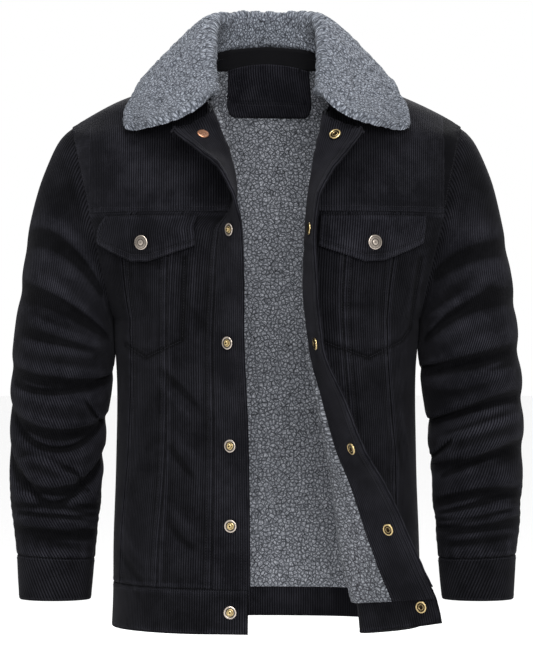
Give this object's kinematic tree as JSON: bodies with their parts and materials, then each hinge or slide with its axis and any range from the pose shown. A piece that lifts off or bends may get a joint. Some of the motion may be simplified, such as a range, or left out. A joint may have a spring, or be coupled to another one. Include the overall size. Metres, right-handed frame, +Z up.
{
  "type": "sherpa lined jacket",
  "caption": "Corduroy trucker-style jacket with sherpa lining and collar, worn open and hollow, with pointed chest pocket flaps, snap fasteners, waistband and cuffs.",
  "frame": {"origin": "between the wearer's shoulders, level with the high points of the shoulder seams, where the wearer carries the jacket", "axes": "+Z up, front faces -Y, the wearer's left is +X"},
  "size_m": [0.642, 0.3399, 0.7748],
  "materials": {
    "corduroy": "black cotton corduroy with upright wales",
    "sherpa": "blue-grey mixed sherpa pile with small curls",
    "twill": "black plain facing and tape",
    "snap_silver": "antique nickel, rubbed",
    "snap_copper": "antique copper, rubbed",
    "snap_brass": "antique brass, rubbed"
  },
  "bodies": {
    "root": {"front_yoke_left": "corduroy", "front_centre_left": "corduroy", "front_middle_left": "corduroy", "front_side_left": "corduroy", "placket_left": "corduroy", "facing_left": "twill", "lining_front_left": "sherpa", "pocket_flap_left": "corduroy", "front_yoke_right": "corduroy", "front_centre_right": "corduroy", "front_middle_right": "corduroy", "front_side_right": "corduroy", "placket_right": "corduroy", "facing_right": "twill", "lining_front_right": "sherpa", "pocket_flap_right": "corduroy", "back_panel": "corduroy", "lining_back": "sherpa", "waistband_left": "corduroy", "waistband_back": "corduroy", "waistband_right": "corduroy", "sleeve_left": "corduroy", "sleeve_right": "corduroy", "cuff_left": "corduroy", "cuff_right": "corduroy", "collar_top": "sherpa", "collar_under": "corduroy", "neck_tape": "twill", "neck_patch": "corduroy", "snap_stud_1": "snap_silver", "snap_back_1": "snap_copper", "snap_socket_1": "snap_brass", "snap_cap_1": "snap_silver", "snap_stud_2": "snap_silver", "snap_back_2": "snap_copper", "snap_socket_2": "snap_brass", "snap_cap_2": "snap_silver", "snap_stud_3": "snap_silver", "snap_back_3": "snap_copper", "snap_socket_3": "snap_brass", "snap_cap_3": "snap_silver", "snap_stud_4": "snap_silver", "snap_back_4": "snap_copper", "snap_socket_4": "snap_brass", "snap_cap_4": "snap_silver", "snap_stud_5": "snap_silver", "snap_back_5": "snap_copper", "snap_socket_5": "snap_brass", "snap_cap_5": "snap_silver", "snap_stud_6": "snap_silver", "snap_back_6": "snap_copper", "snap_socket_6": "snap_brass", "snap_cap_6": "snap_silver", "flap_snap_left": "snap_silver", "flap_snap_right": "snap_silver"}
  },
  "joints": []
}
